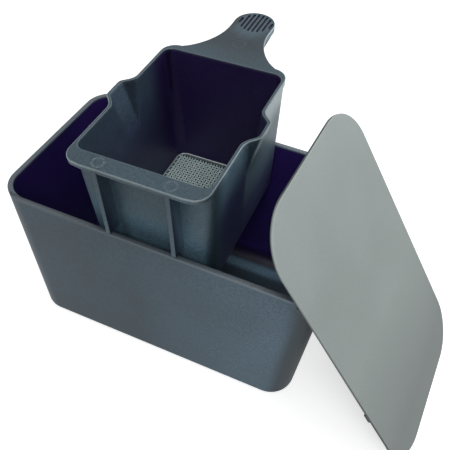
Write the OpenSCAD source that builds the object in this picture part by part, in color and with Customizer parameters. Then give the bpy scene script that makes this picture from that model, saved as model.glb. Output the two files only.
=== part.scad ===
// Open pond and aquarium filter box: a drafted tub, a media basket parked on
// the tub's front rim with a sieve in its floor, and a thin flat lid leaning
// against the tub's right side. Millimetres, +Z up, the tub stands on z = 0
// with its middle on the origin and its long side along X.

/* [Tub] */

// Outside length of the tub at its rim, along X
tub_length = 170; // [120:1:260]
// Outside width of the tub at its rim, along Y
tub_width = 101; // [80:1:160]
// Height of the tub
tub_height = 96; // [60:1:160]
// Wall and floor thickness of the tub
tub_wall = 2.8; // [1.6:0.1:4]
// Outside corner radius at the rim
tub_corner = 15.7; // [8:0.1:24]
// How far each end wall leans in by the foot of the tub
tub_lean_x = 5; // [1:0.25:8]
// How far each long wall leans in by the foot of the tub
tub_lean_y = 3.5; // [1:0.25:8]
// Outside round where the walls meet the floor
tub_foot_round = 3; // [1:0.5:8]
// Inside round where the walls meet the floor
tub_floor_round = 10; // [2:0.5:12]

/* [Basket] */

// Outside width of the basket between its side bulges, along its own X
basket_width = 68.2; // [50:0.2:90]
// Length of the basket's top from the front lip to the back lip
basket_length = 98.4; // [80:0.2:140]
// Depth of the basket from its top to its underside
basket_depth = 72.5; // [40:0.5:90]
// Wall thickness of the basket
basket_wall = 1.6; // [1:0.1:3]
// Width of the front lip, from its outer edge to the inside of the basket
front_lip = 8.9; // [4:0.1:14]
// Width of the back lip, from its outer edge to the inside of the basket
back_lip = 4.3; // [2.6:0.1:10]
// Thickness of the front lip
front_lip_thick = 2.6; // [1.5:0.1:5]
// Corner radius of the lips
lip_corner = 8; // [5:0.1:12]
// Outside corner radius between the front wall and the side walls
front_corner = 7; // [4:0.1:9]
// Outside corner radius between the back wall and the side walls
back_corner = 7; // [3:0.1:9]
// Inside corner radius at the front wall
front_inner_corner = 4.6; // [1:0.1:7]
// Inside corner radius at the back wall
back_inner_corner = 5.4; // [1:0.1:7]
// How far a bulge stands out from the side wall at the top
bulge_out = 5.6; // [2:0.1:9]
// Length of the outer face of a bulge
bulge_length = 12; // [6:0.5:24]
// Depth at which a bulge runs out into the side wall
bulge_depth = 25; // [12:0.5:50]

/* [Handle and ribs] */

// Reach of the handle behind the back lip
handle_reach = 47; // [25:0.2:60]
// Radius of the rounded thumb end
handle_round = 11.3; // [7:0.1:14]
// Thickness of the handle and the back lip
handle_thick = 4; // [2.5:0.1:6]
// Number of grooves in the thumb pad
grip_grooves = 8; // [5:1:13]
// Thickness of each parking rib under the front lip
rib_thick = 2.3; // [1.5:0.1:4]
// Distance between the middles of the two parking ribs
rib_pitch = 34.6; // [24:0.2:44]
// Depth of the ribs' feet below the top of the basket
rib_drop = 41.5; // [20:0.1:60]

/* [Sieve] */

// Thickness of the sieve
sieve_thick = 0.8; // [0.5:0.1:1.5]
// Number of gaps across the basket
sieve_gaps_x = 13; // [6:1:14]
// Number of gaps along the basket
sieve_gaps_y = 19; // [8:1:20]
// Width of the strands between the gaps
sieve_strand = 1.3; // [0.6:0.1:2]

/* [Lid] */

// Length of the lid
lid_length = 170; // [120:0.5:260]
// Width of the lid
lid_width = 99; // [80:0.5:160]
// Thickness of the lid
lid_thick = 1.6; // [1:0.1:4]
// Corner radius of the lid
lid_corner = 24; // [12:0.5:40]
// Height of the four locating lugs under the lid
lug_height = 3.4; // [2:0.1:6]

/* [Hidden] */
eps = 0.02;
half_w = basket_width / 2;
half_l = basket_length / 2;
// The basket's side, front and back walls lean in by these parts of the depth
side_lean = 0.045;
front_lean = 0.02;
back_lean = 0.005;
// Outside and inside of the basket's walls at the top, in its own frame
wall_front = -half_l + front_lip - basket_wall;
wall_back = half_l - back_lip + basket_wall;
floor_thick = 1.2;
sieve_low = -basket_depth + floor_thick;
bulge_mid = 3;
neck_y = half_l + handle_reach - 18.2;
neck_r = 36;
handle_x = 0.3;
grip_x = 1.1;
grip_y = half_l + handle_reach - handle_round + 0.6;
grip_r = 9.2;
grip_pitch = 2.49;
groove_wide = 1.35;
// Where the parked basket and the leaning lid stand
basket_at = [-3.5, -3.92, 141.05];
basket_turn = [2.96, -2.57, -1.35];
lid_at = [106.09, -10.24, 73.05];
lid_turn = [6.14, 55.18, 0.5];

body_grey = [0.27, 0.31, 0.34];
basket_grey = [0.23, 0.28, 0.31];
sieve_grey = [0.55, 0.58, 0.56];
lid_grey = [0.55, 0.58, 0.57];

module plate_2d(w, d, r) {
    translate([-w / 2 + r, -d / 2]) square([w - 2 * r, d]);
    translate([-w / 2, -d / 2 + r]) square([w, d - 2 * r]);
    for (sx = [-1, 1]) {
        for (sy = [-1, 1]) {
            translate([sx * (w / 2 - r), sy * (d / 2 - r)]) circle(r = r, $fn = 48);
        }
    }
}

// Rounded rectangle whose front and back corners differ
module uneven_plate_2d(w, d, front_r, back_r) {
    intersection() {
        plate_2d(w, d, front_r);
        translate([-w / 2, -d / 2]) square([w, d / 2]);
    }
    intersection() {
        plate_2d(w, d, back_r);
        translate([-w / 2, -eps]) square([w, d / 2 + eps]);
    }
}

// Thin slab of a rounded rectangle
module slab(z, w, d, r) {
    translate([0, 0, z]) linear_extrude(height = eps) plate_2d(w, d, r);
}

// A drafted box with a rounded foot; every size is at the top
module drafted_box(w, d, h, r, lean_x, lean_y, foot) {
    hull() {
        slab(h - eps, w, d, r);
        for (a = [0, 18, 36, 54, 72, 90]) {
            drop = foot * (1 - sin(a));
            inset = foot * (1 - cos(a));
            part = 1 - drop / h;
            slab(
                foot - foot * sin(a),
                w - 2 * lean_x * part - 2 * inset,
                d - 2 * lean_y * part - 2 * inset,
                r - 1.7 * part - inset * 0.5
            );
        }
    }
}

module tub() {
    color(body_grey)
    difference() {
        drafted_box(
            tub_length, tub_width, tub_height, tub_corner,
            tub_lean_x, tub_lean_y, tub_foot_round
        );
        translate([0, 0, tub_wall])
        drafted_box(
            tub_length - 2 * tub_wall, tub_width - 2 * tub_wall,
            tub_height - tub_wall + 2 * eps, tub_corner - tub_wall,
            tub_lean_x, tub_lean_y, tub_floor_round
        );
    }
}

// One slab of the basket's wall, grown inward by t, at depth z
module basket_slab(z, t, inset = 0) {
    w = 2 * (half_w + side_lean * z - t - inset);
    front = wall_front - front_lean * z + t + inset;
    back = wall_back + back_lean * z - t - inset;
    front_r = (t > 0 ? front_inner_corner : front_corner) - inset * 0.5;
    back_r = (t > 0 ? back_inner_corner : back_corner) - inset * 0.5;
    translate([0, (front + back) / 2, z]) linear_extrude(height = eps)
    uneven_plate_2d(w, back - front, front_r, back_r);
}

module basket_outside() {
    hull() {
        basket_slab(-eps, 0);
        basket_slab(-basket_depth + 2, 0);
        basket_slab(-basket_depth + 0.6, 0, 0.6);
        basket_slab(-basket_depth, 0, 2);
    }
}

module basket_inside() {
    hull() {
        basket_slab(1, basket_wall);
        basket_slab(sieve_low, basket_wall);
    }
}

// Wedge that stands out from a side wall and runs out downward; t grows inward
module bulge(t) {
    side = half_w + bulge_out - t;
    r = 2.6 - t * 0.4;
    reach = bulge_length / 2 - t * 0.41;
    base = reach + bulge_out + 1.2;
    hull() {
        translate([0, bulge_mid, -eps]) linear_extrude(height = t > 0 ? 1 : eps)
        for (sy = [-1, 1]) {
            translate([side - r, sy * (reach - r * 0.4)]) circle(r = r, $fn = 32);
            translate([half_w - t - 1, sy * base]) circle(r = 0.2, $fn = 8);
        }
        translate([half_w - t - 3, bulge_mid - 9, -bulge_depth])
        cube([3 - side_lean * bulge_depth, 18, eps]);
    }
}

module handle_2d() {
    translate([handle_x, half_l + handle_reach - handle_round]) circle(r = handle_round, $fn = 64);
    difference() {
        translate([handle_x - 25.2, half_l - 3])
        square([50.4, handle_reach - handle_round + 3]);
        for (sx = [-1, 1]) {
            translate([handle_x + sx * (handle_round - 0.1 + neck_r), neck_y])
            circle(r = neck_r, $fn = 128);
            translate([handle_x + sx * (handle_round - 0.1 + 15) - 15, neck_y])
            square([30, handle_reach]);
        }
    }
}

module lips() {
    intersection() {
        translate([0, 0, -front_lip_thick]) linear_extrude(height = front_lip_thick)
        plate_2d(basket_width, basket_length, lip_corner);
        translate([-half_w, -half_l, -5]) cube([basket_width, 14, 6]);
    }
    intersection() {
        translate([0, 0, -handle_thick]) linear_extrude(height = handle_thick)
        plate_2d(basket_width, basket_length, lip_corner);
        translate([-half_w, half_l - 11, -5]) cube([basket_width, 12, 6]);
    }
}

module grip_cut() {
    intersection() {
        translate([grip_x, grip_y, -0.7]) cylinder(h = 2, r = grip_r, $fn = 64);
        for (i = [0 : grip_grooves - 1]) {
            x = grip_x + (i - (grip_grooves - 1) / 2) * grip_pitch;
            translate([x - groove_wide / 2, grip_y - grip_r, -0.7])
            cube([groove_wide, 2 * grip_r, 2]);
        }
    }
}

// Shallow witness ring left by the mould on a flat face
module ring_mark(x, y, r) {
    translate([x, y, -0.2]) difference() {
        cylinder(h = 1, r = r, $fn = 32);
        translate([0, 0, -1]) cylinder(h = 3, r = r - 0.55, $fn = 32);
    }
}

module rib(x) {
    translate([x - rib_thick / 2, -half_l, -rib_drop])
    cube([rib_thick, front_lip - basket_wall + 0.9, rib_drop - 1]);
}

module basket_solid() {
    difference() {
        union() {
            basket_outside();
            bulge(0);
            mirror([1, 0, 0]) bulge(0);
            lips();
            translate([0, 0, -handle_thick]) linear_extrude(height = handle_thick) handle_2d();
            rib(-rib_pitch / 2);
            rib(rib_pitch / 2);
        }
        basket_inside();
        bulge(basket_wall);
        mirror([1, 0, 0]) bulge(basket_wall);
        sieve_opening();
        grip_cut();
        ring_mark(-rib_pitch / 2, -half_l + 4.5, 3.05);
        ring_mark(rib_pitch / 2, -half_l + 4.5, 3.05);
        ring_mark(0.7, half_l + 13.8, 3.6);
    }
}

// Opening left in the basket's floor inside the ledge that carries the sieve
module sieve_opening() {
    w = basket_width - 2 * basket_wall - 2 * side_lean * basket_depth - 5;
    front = wall_front + front_lean * basket_depth + basket_wall + 2.5;
    back = wall_back - back_lean * basket_depth - basket_wall - 2.5;
    translate([0, (front + back) / 2, -basket_depth - 1])
    linear_extrude(height = 3) plate_2d(w, back - front, 3);
}

module basket_place() {
    translate(basket_at) rotate(basket_turn) children();
}

module media_basket() {
    color(basket_grey) basket_place() basket_solid();
}

module sieve_mesh() {
    w = basket_width - 2 * basket_wall + 2 * side_lean * sieve_low - 0.3;
    front = wall_front - front_lean * sieve_low + basket_wall + 0.15;
    back = wall_back + back_lean * sieve_low - basket_wall - 0.15;
    d = back - front;
    edge = 1.9;
    pitch_x = (w - 2 * edge + sieve_strand) / sieve_gaps_x;
    pitch_y = (d - 2 * edge + sieve_strand) / sieve_gaps_y;
    color(sieve_grey) basket_place()
    translate([0, (front + back) / 2, sieve_low])
    linear_extrude(height = sieve_thick)
    difference() {
        uneven_plate_2d(w, d, front_inner_corner, back_inner_corner);
        for (i = [0 : sieve_gaps_x - 1]) {
            for (j = [0 : sieve_gaps_y - 1]) {
                translate([-w / 2 + edge + i * pitch_x, -d / 2 + edge + j * pitch_y])
                square([pitch_x - sieve_strand, pitch_y - sieve_strand]);
            }
        }
    }
}

module lug(x, side) {
    translate([x - 3, side * (tub_width / 2 - tub_wall - 1.3) - 1, -lid_thick - lug_height])
    cube([6, 2, lug_height + 0.2]);
}

module lid() {
    color(lid_grey) translate(lid_at) rotate(lid_turn) {
        translate([0, 0, -lid_thick]) linear_extrude(height = lid_thick)
        plate_2d(lid_length, lid_width, lid_corner);
        for (side = [-1, 1]) {
            lug(-39, side);
            lug(39, side);
        }
    }
}

tub();
media_basket();
sieve_mesh();
lid();
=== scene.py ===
"""Looks of an open filter box: tub, parked media basket with its sieve, and leaning lid.

Sizes in the classes are millimetres, as in the part's source. Meshes are made in metres.
"""

from __future__ import annotations

import logging
import math
from collections.abc import Callable, Sequence
from dataclasses import dataclass, field
from enum import Enum
from typing import Any, Protocol

import bmesh
import bpy
from mathutils import Euler, Matrix, Vector, geometry


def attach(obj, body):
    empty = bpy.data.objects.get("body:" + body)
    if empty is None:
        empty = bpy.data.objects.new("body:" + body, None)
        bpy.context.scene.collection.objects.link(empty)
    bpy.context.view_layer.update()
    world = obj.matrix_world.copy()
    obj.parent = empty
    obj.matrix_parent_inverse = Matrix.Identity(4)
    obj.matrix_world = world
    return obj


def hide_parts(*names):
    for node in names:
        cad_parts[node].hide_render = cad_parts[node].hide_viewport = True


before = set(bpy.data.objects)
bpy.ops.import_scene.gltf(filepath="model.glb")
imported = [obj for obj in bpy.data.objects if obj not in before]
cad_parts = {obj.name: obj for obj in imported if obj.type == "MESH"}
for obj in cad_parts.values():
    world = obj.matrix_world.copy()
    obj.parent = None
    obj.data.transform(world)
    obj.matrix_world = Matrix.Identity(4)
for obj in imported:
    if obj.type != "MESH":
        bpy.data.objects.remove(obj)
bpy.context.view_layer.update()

log = logging.getLogger("filter_box")

MM = 0.001
TINY = 1e-6
WHITE = (1.0, 1.0, 1.0, 1.0)

# Points closer than the first are one point, and edges shorter than the second are dropped.
MERGE_MM = 0.002
SLIVER_MM = 0.0005

Point2 = tuple[float, float]
Point3 = tuple[float, float, float]
Colour = tuple[float, float, float]
Rule = Callable[[Vector, Vector, float], float]


class Mark(Enum):
    """Number kept on each point of a mesh, which the finishes read: rubbed edges with painted highlights, the
    core side with painted shade, and painted light and shade.
    """

    # Rubbed rims with a painted highlight on them; on the basket's right wall, painted sheen.
    EDGE = "edge_wear_and_highlight"
    # The core side, with painted shade on it and on shaded places outside.
    CORE_AND_SHADE = "core_side_and_shade"
    # Painted light and shade: lighter where light falls, darker where shade falls.
    PAINTED_LIGHT = "tone"


class End(Enum):
    """End of the basket, with the way to it along Y."""

    FRONT = -1
    BACK = 1


# ---------------------------------------------------------------------------
# Shader maths
# ---------------------------------------------------------------------------


class Wire:
    """A number or colour on its way through a finish's nodes."""

    def __init__(self, graph: Graph, socket: bpy.types.NodeSocket) -> None:
        """Keeps the graph and the socket that the value comes from."""
        self.graph = graph
        self.socket = socket

    def _maths(self, operation: str, first: Any, second: Any) -> Wire:
        """Adds one Math node.

        Args:
            operation: The Math node's operation.
            first: A wire or number for the first socket.
            second: A wire or number for the second socket.

        Returns:
            The node's result.
        """
        return self.graph.node("ShaderNodeMath", {"operation": operation}, {0: first, 1: second})

    def __add__(self, other: Any) -> Wire:
        """Sum."""
        return self._maths("ADD", self, other)

    def __radd__(self, other: Any) -> Wire:
        """Reflected sum."""
        return self._maths("ADD", other, self)

    def __sub__(self, other: Any) -> Wire:
        """Difference."""
        return self._maths("SUBTRACT", self, other)

    def __rsub__(self, other: Any) -> Wire:
        """Reflected difference."""
        return self._maths("SUBTRACT", other, self)

    def __mul__(self, other: Any) -> Wire:
        """Product."""
        return self._maths("MULTIPLY", self, other)

    def __rmul__(self, other: Any) -> Wire:
        """Reflected product."""
        return self._maths("MULTIPLY", other, self)

    def above(self, low: float, high: float) -> Wire:
        """Share from 0 at low to 1 at high, held at both ends.

        Args:
            low: Value that gives 0.
            high: Value that gives 1.

        Returns:
            The share.
        """
        return self.graph.node(
            "ShaderNodeMapRange", {"clamp": True}, {"Value": self, "From Min": low, "From Max": high}
        )


def new_node(
    tree: bpy.types.NodeTree,
    kind: str,
    settings: dict[str, Any] | None = None,
    inputs: dict[str | int, Any] | None = None,
) -> bpy.types.Node:
    """Adds a node of any type to a tree.

    Args:
        tree: The tree.
        kind: The node's type.
        settings: Properties, which are set first.
        inputs: Values, sockets or wires by the input's name or number.

    Returns:
        The node.
    """
    made = tree.nodes.new(kind)
    for key, value in (settings or {}).items():
        setattr(made, key, value)
    for key, value in (inputs or {}).items():
        source = value.socket if isinstance(value, Wire) else value
        if isinstance(source, bpy.types.NodeSocket):
            tree.links.new(source, made.inputs[key])
        else:
            made.inputs[key].default_value = source
    return made


class Graph:
    """Node tree of one material."""

    def __init__(self, name: str) -> None:
        """Makes an empty material with its output node.

        Args:
            name: Name of the material.
        """
        self.material = bpy.data.materials.new(name)
        self.material.use_nodes = True
        self.tree = self.material.node_tree
        self.tree.nodes.clear()
        self.output = new_node(self.tree, "ShaderNodeOutputMaterial")

    def node(
        self,
        kind: str,
        settings: dict[str, Any] | None = None,
        inputs: dict[str | int, Any] | None = None,
        result: str | int = 0,
    ) -> Wire:
        """Adds a node of any type.

        Args:
            kind: The node's type.
            settings: Properties, which are set first.
            inputs: Values or wires by the socket's name or number.
            result: Output socket that the wire comes from.

        Returns:
            A wire from that output.
        """
        return Wire(self, new_node(self.tree, kind, settings, inputs).outputs[result])

    def mix(self, part: Any, first: Any, second: Any) -> Wire:
        """Blends two colours.

        Args:
            part: Part of the second colour, a wire or number.
            first: Colour at 0, a wire or RGB.
            second: Colour at 1, a wire or RGB.

        Returns:
            The blended colour.
        """
        settings = {"data_type": "RGBA", "blend_type": "MIX"}
        colours = [c if isinstance(c, Wire) else (*c, 1.0) for c in (first, second)]
        return self.node("ShaderNodeMix", settings, {0: part, 6: colours[0], 7: colours[1]}, 2)

    def noise(self, scale: float, detail: float, roughness: float) -> Wire:
        """Noise on the piece's own coordinates.

        Args:
            scale: Waves per metre.
            detail: Octaves.
            roughness: Weight of the finer octaves.

        Returns:
            The noise's number, about 0.3 to 0.7.
        """
        place = self.node("ShaderNodeTexCoord", result="Object")
        return self.node(
            "ShaderNodeTexNoise",
            inputs={"Vector": place, "Scale": scale, "Detail": detail, "Roughness": roughness},
            result="Fac",
        )

    def scaled(self, colour: Any, factor: Any) -> Wire:
        """Makes a colour lighter or darker.

        Args:
            colour: A wire or RGB.
            factor: A wire or number that it is multiplied by.

        Returns:
            The new colour.
        """
        return self.node("ShaderNodeVectorMath", {"operation": "SCALE"}, {0: colour, "Scale": factor})

    def along(self, way: Point3) -> Wire:
        """Distance in metres along a direction, on the piece's own coordinates."""
        place = self.node("ShaderNodeTexCoord", result="Object")
        return self.node("ShaderNodeVectorMath", {"operation": "DOT_PRODUCT"}, {0: place, 1: way}, "Value")

    def mark(self, mark: Mark) -> Wire:
        """The number that the mesh carries for a mark."""
        return self.node("ShaderNodeAttribute", {"attribute_name": mark.value}, result="Fac")

    def surface(self, shader: Wire) -> bpy.types.Material:
        """Joins a shader to the output and gives the finished material."""
        self.tree.links.new(shader.socket, self.output.inputs["Surface"])
        return self.material


def tinted(colour: Colour, gain: float) -> Colour:
    """A colour made lighter or darker by a factor."""
    return (min(colour[0] * gain, 1.0), min(colour[1] * gain, 1.0), min(colour[2] * gain, 1.0))


@dataclass(frozen=True)
class Fade:
    """Painted light: slow change of brightness along a piece.

    Attributes:
        way: Direction of the change, of length 1.
        start: Distance along it at which the change starts, in metres.
        end: Distance along it at which the change ends, in metres.
        gain: Factor of the colour where the change has ended.
    """

    way: Point3
    start: float
    end: float
    gain: float


@dataclass(frozen=True)
class MouldedPlastic:
    """Spark-eroded outside and smoother core side of an injection moulding, with painted light and shade
    carried by the mesh's marks.

    Attributes:
        name: Material name.
        face: Colour of the textured outside.
        core_and_shade: Colour of the smoother core side, darkened as painted shade, which also paints shade
            on shaded places outside.
        edge: Colour of rims and edges, where the texture is rubbed lighter and a painted highlight stands in
            for the light on them.
        roughness: Roughness of the outside.
        core_roughness: Roughness of the core side.
        grain_mm: Size of the eroded grain.
        grain_depth_mm: Height of the grain.
        gloss: Strength of the surface's reflection.
        ior: Index of refraction of the plastic.
        flow_waves: Waves of the melt flow per metre.
        mottle: Strength of the melt flow's slow change of tone.
        grain_tone: Strength of the grain's own change of tone.
        tone_loss: Part of those two strengths by which the deepest tone is darker.
        face_gain: Factor of the outside's colour at the lightest tone.
        core_and_shade_gain: Factor of the core side's painted-shade colour at the lightest tone.
        edge_grain: Part of the edges' rubbed light and painted highlight that the grain breaks up.
        core_smooth: Part of the grain's height that the core side lacks.
        grain_rough: Change of roughness with the grain.
        flow_rough: Change of roughness with the melt flow.
        edge_polish: How much less rough a rubbed edge is.
        painted_light_fades: Painted light, slow changes of brightness along the piece.
    """

    name: str
    face: Colour
    core_and_shade: Colour
    edge: Colour
    roughness: float = 0.42
    core_roughness: float = 0.36
    grain_mm: float = 1.1
    grain_depth_mm: float = 0.02
    gloss: float = 0.3
    ior: float = 1.5
    flow_waves: float = 26.0
    mottle: float = 0.16
    grain_tone: float = 0.3
    tone_loss: float = 0.45
    face_gain: float = 1.9
    core_and_shade_gain: float = 1.6
    edge_grain: float = 0.25
    core_smooth: float = 0.6
    grain_rough: float = 0.08
    flow_rough: float = 0.05
    edge_polish: float = 0.1
    painted_light_fades: tuple[Fade, ...] = ()

    def material(self) -> bpy.types.Material:
        """Builds the finish's material.

        Returns:
            The material.
        """
        g = Graph(self.name)
        flow = g.noise(self.flow_waves, detail=3.0, roughness=0.45).above(0.34, 0.66)
        speck = g.noise(1.0 / (self.grain_mm * MM), detail=2.0, roughness=0.6).above(0.3, 0.7)
        edge = g.mark(Mark.EDGE)
        # Where the core mark is, the colour turns to the core colour: painted shade on the core side.
        core_and_shade = g.mark(Mark.CORE_AND_SHADE)
        tone = flow * self.mottle + speck * self.grain_tone
        deepest = 1.0 - (self.mottle + self.grain_tone) * self.tone_loss
        face = g.mix(tone, tinted(self.face, deepest), tinted(self.face, self.face_gain))
        inner = g.mix(tone, tinted(self.core_and_shade, deepest), tinted(self.core_and_shade, self.core_and_shade_gain))
        colour = g.mix(core_and_shade, face, inner)
        # The edge mark lightens rubbed edges and paints highlights and sheen on them.
        highlight_and_wear = edge * ((1.0 - self.edge_grain) + self.edge_grain * speck)
        colour = g.mix(highlight_and_wear, colour, self.edge)
        # Painted light and shade: the tone mark and the fades lighten or darken the colour.
        light = 1.0 + g.mark(Mark.PAINTED_LIGHT)
        for fade in self.painted_light_fades:
            light = light * (1.0 + g.along(fade.way).above(fade.start, fade.end) * (fade.gain - 1.0))
        colour = g.scaled(colour, light)
        rough = self.roughness + core_and_shade * (self.core_roughness - self.roughness)
        rough = rough + (speck - 0.5) * self.grain_rough + (flow - 0.5) * self.flow_rough
        rough = rough - edge * self.edge_polish
        grain = g.node(
            "ShaderNodeBump",
            inputs={
                "Strength": 0.5,
                "Distance": self.grain_depth_mm * MM,
                "Height": speck * (1.0 - core_and_shade * self.core_smooth),
            },
        )
        shader = g.node(
            "ShaderNodeBsdfPrincipled",
            inputs={
                "Base Color": colour,
                "Roughness": rough,
                "Normal": grain,
                "IOR": self.ior,
                "Specular IOR Level": self.gloss,
            },
        )
        return g.surface(shader)


@dataclass(frozen=True)
class StudioFloor:
    """Plain white table that keeps the object's shadow.

    Attributes:
        name: Material name.
        shade: Grey of the table itself.
        lift: Light added where the table is seen, so that it reads white.
        mirrored: Part of that light where a reflection shows the table.
    """

    name: str = "studio_floor"
    shade: float = 0.85
    lift: float = 0.6
    mirrored: float = 0.4

    def material(self) -> bpy.types.Material:
        """Builds the table's material.

        Returns:
            The material.
        """
        g = Graph(self.name)
        matte = g.node("ShaderNodeBsdfDiffuse", inputs={"Color": (self.shade, self.shade, self.shade, 1.0)})
        glow = g.node("ShaderNodeEmission", inputs={"Color": WHITE, "Strength": self.lift})
        lifted = g.node("ShaderNodeAddShader", inputs={0: matte, 1: glow})
        path = new_node(g.tree, "ShaderNodeLightPath").outputs
        rays = [Wire(g, path[n]) for n in ("Is Camera Ray", "Is Glossy Ray", "Is Transmission Ray")]
        seen = (rays[0] + (rays[1] + rays[2]) * self.mirrored).above(0.0, 1.0)
        return g.surface(g.node("ShaderNodeMixShader", inputs={0: seen, 1: matte, 2: lifted}))


# ---------------------------------------------------------------------------
# Mesh making
# ---------------------------------------------------------------------------


def linked(name: str, data: Any) -> bpy.types.Object:
    """Makes an object and puts it in the scene.

    Args:
        name: Name of the object.
        data: Its mesh, light or camera.

    Returns:
        The object.
    """
    made = bpy.data.objects.new(name, data)
    bpy.context.scene.collection.objects.link(made)
    return made


def standing(at: Point3, turn: Point3) -> Matrix:
    """Place of a piece from its origin in millimetres and its turns in degrees."""
    turned = Euler([math.radians(a) for a in turn], "XYZ").to_matrix().to_4x4()
    return Matrix.Translation(at) @ turned


def in_metres(place: Matrix | None) -> Matrix:
    """Matrix that takes a piece's own millimetres to metres at its place."""
    return Matrix.Scale(MM, 4) @ (place or Matrix.Identity(4))


def quarter(radius: float, turns: Sequence[float]) -> list[Point2]:
    """Points of a rounded edge.

    Args:
        radius: Radius of the edge.
        turns: Angles in degrees, 0 where the round leaves the wall and 90 where it lies flat.

    Returns:
        For each angle, how far the edge has moved back and how far it has risen.
    """
    angles = [math.radians(turn) for turn in turns]
    return [(radius * (1 - math.cos(a)), radius * math.sin(a)) for a in angles]


def is_within(p: Vector, loop: Sequence[Point2]) -> bool:
    """Tells whether a point lies inside a loop.

    Args:
        p: The point.
        loop: Closed outline.

    Returns:
        Whether a ray from the point crosses the loop an odd number of times.
    """
    hit = False
    for (x0, y0), (x1, y1) in zip(loop, list(loop[1:]) + [loop[0]]):
        if (y0 > p.y) != (y1 > p.y) and p.x < (x1 - x0) * (p.y - y0) / (y1 - y0) + x0:
            hit = not hit
    return hit


class Mould:
    """Rings of points in millimetres and the faces between them."""

    def __init__(self) -> None:
        """Starts with nothing."""
        self.points: list[Point3] = []
        self.faces: list[tuple[int, ...]] = []
        self.marks: dict[Mark, list[float]] = {mark: [] for mark in Mark}

    def ring(
        self,
        points: Sequence[Point3],
        edge: Sequence[float] | float = 0.0,
        core_and_shade: float = 0.0,
        tone: float = 0.0,
    ) -> list[int]:
        """Adds points.

        Args:
            points: The points.
            edge: Edge mark of these points, or one for each.
            core_and_shade: Mark of the core side with painted shade for these points.
            tone: Mark of painted light and shade for these points.

        Returns:
            Their numbers.
        """
        start = len(self.points)
        self.points.extend(points)
        self.marks[Mark.EDGE].extend([edge] * len(points) if isinstance(edge, (int, float)) else edge)
        self.marks[Mark.CORE_AND_SHADE].extend([core_and_shade] * len(points))
        self.marks[Mark.PAINTED_LIGHT].extend([tone] * len(points))
        return list(range(start, len(self.points)))

    def bridge(self, low: Sequence[int], high: Sequence[int]) -> None:
        """Closes the band between two rings of equal count.

        Args:
            low: Numbers of the first ring's points.
            high: Numbers of the second ring's points.
        """
        count = len(low)
        for i in range(count):
            j = (i + 1) % count
            self.faces.append((low[i], low[j], high[j], high[i]))

    def stack(self, rings: Sequence[Sequence[int]]) -> None:
        """Closes the bands between rings that follow one another."""
        for low, high in zip(rings, rings[1:]):
            self.bridge(low, high)

    def cap(self, ring: Sequence[int], upward: bool) -> None:
        """Closes a ring with one flat face."""
        self.faces.append(tuple(ring) if upward else tuple(reversed(ring)))

    def solid(self, rings: Sequence[Sequence[int]]) -> None:
        """Closes a stack of rings, its open bottom and its open top.

        Args:
            rings: The rings, from the underside round to the last.
        """
        self.stack(rings)
        self.cap(rings[0], upward=False)
        self.cap(rings[-1], upward=True)

    def piece(self, name: str, place: Matrix | None = None) -> bpy.types.Object:
        """Makes the object.

        Args:
            name: Name of the piece.
            place: Where the piece stands, in millimetres.

        Returns:
            The object, at the origin, with its place in its mesh.
        """
        mesh = bpy.data.meshes.new(name)
        mesh.from_pydata(self.points, [], self.faces)
        for mark, values in self.marks.items():
            mesh.attributes.new(mark.value, "FLOAT", "POINT").data.foreach_set("value", values)
        bm = bmesh.new()
        bm.from_mesh(mesh)
        bmesh.ops.remove_doubles(bm, verts=bm.verts, dist=MERGE_MM)
        bmesh.ops.dissolve_degenerate(bm, edges=bm.edges, dist=SLIVER_MM)
        bmesh.ops.recalc_face_normals(bm, faces=bm.faces)
        bm.to_mesh(mesh)
        bm.free()
        mesh.transform(in_metres(place))
        return linked(name, mesh)


def rounded_rect(
    width: float, depth: float, radius: float, steps: int, back_radius: float | None = None
) -> list[Point2]:
    """Outline of a rounded rectangle, anticlockwise from its front right corner.

    Args:
        width: Size along X.
        depth: Size along Y.
        radius: Corner radius.
        steps: Steps of each quarter turn.
        back_radius: Radius of the two back corners, where it differs.

    Returns:
        The outline.
    """
    made: list[Point2] = []
    for quarter, (sx, sy) in enumerate(((1, -1), (1, 1), (-1, 1), (-1, -1))):
        r = radius if back_radius is None or sy < 0 else back_radius
        for k in range(steps + 1):
            turn = math.radians(-90 + 90 * quarter + 90 * k / steps)
            cx, cy = sx * (width / 2 - r), sy * (depth / 2 - r)
            made.append((cx + r * math.cos(turn), cy + r * math.sin(turn)))
    return made


def moved_in(outline: Sequence[Point2], amount: Sequence[float] | float) -> list[Point2]:
    """Moves an anticlockwise outline inward along its own normals.

    Args:
        outline: Closed outline.
        amount: Distance for all points, or one for each. A negative one moves outward.

    Returns:
        The moved outline.
    """
    sharpest = 0.5
    count = len(outline)
    made: list[Point2] = []
    for i, (x, y) in enumerate(outline):
        step = amount if isinstance(amount, (int, float)) else amount[i]
        before, after = outline[i - 1], outline[(i + 1) % count]
        a = Vector((x - before[0], y - before[1]))
        b = Vector((after[0] - x, after[1] - y))
        a = a.normalized() if a.length > TINY else b.normalized()
        b = b.normalized() if b.length > TINY else a
        way = a + b
        way.normalize()
        mitre = 1.0 / max(way.dot(a), sharpest)
        made.append((x - way.y * step * mitre, y + way.x * step * mitre))
    return made


def at_height(outline: Sequence[Point2], z: Sequence[float] | float) -> list[Point3]:
    """Lifts an outline.

    Args:
        outline: The outline.
        z: Height of all points, or one for each.

    Returns:
        The outline's points in space.
    """
    if isinstance(z, (int, float)):
        return [(x, y, z) for x, y in outline]
    return [(x, y, h) for (x, y), h in zip(outline, z)]


def soft_max(a: float, b: float, blend: float) -> float:
    """Takes the larger of two numbers, rounded where they meet.

    Args:
        a: One number.
        b: The other number.
        blend: Difference from which the result is the larger one itself.

    Returns:
        The rounded maximum.
    """
    near = max(blend - abs(a - b), 0.0)
    return max(a, b) + near * near / (4 * blend)


def soft_min(a: float, b: float, blend: float) -> float:
    """The smaller of two numbers, rounded where they meet over a blend."""
    return -soft_max(-a, -b, blend)


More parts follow.
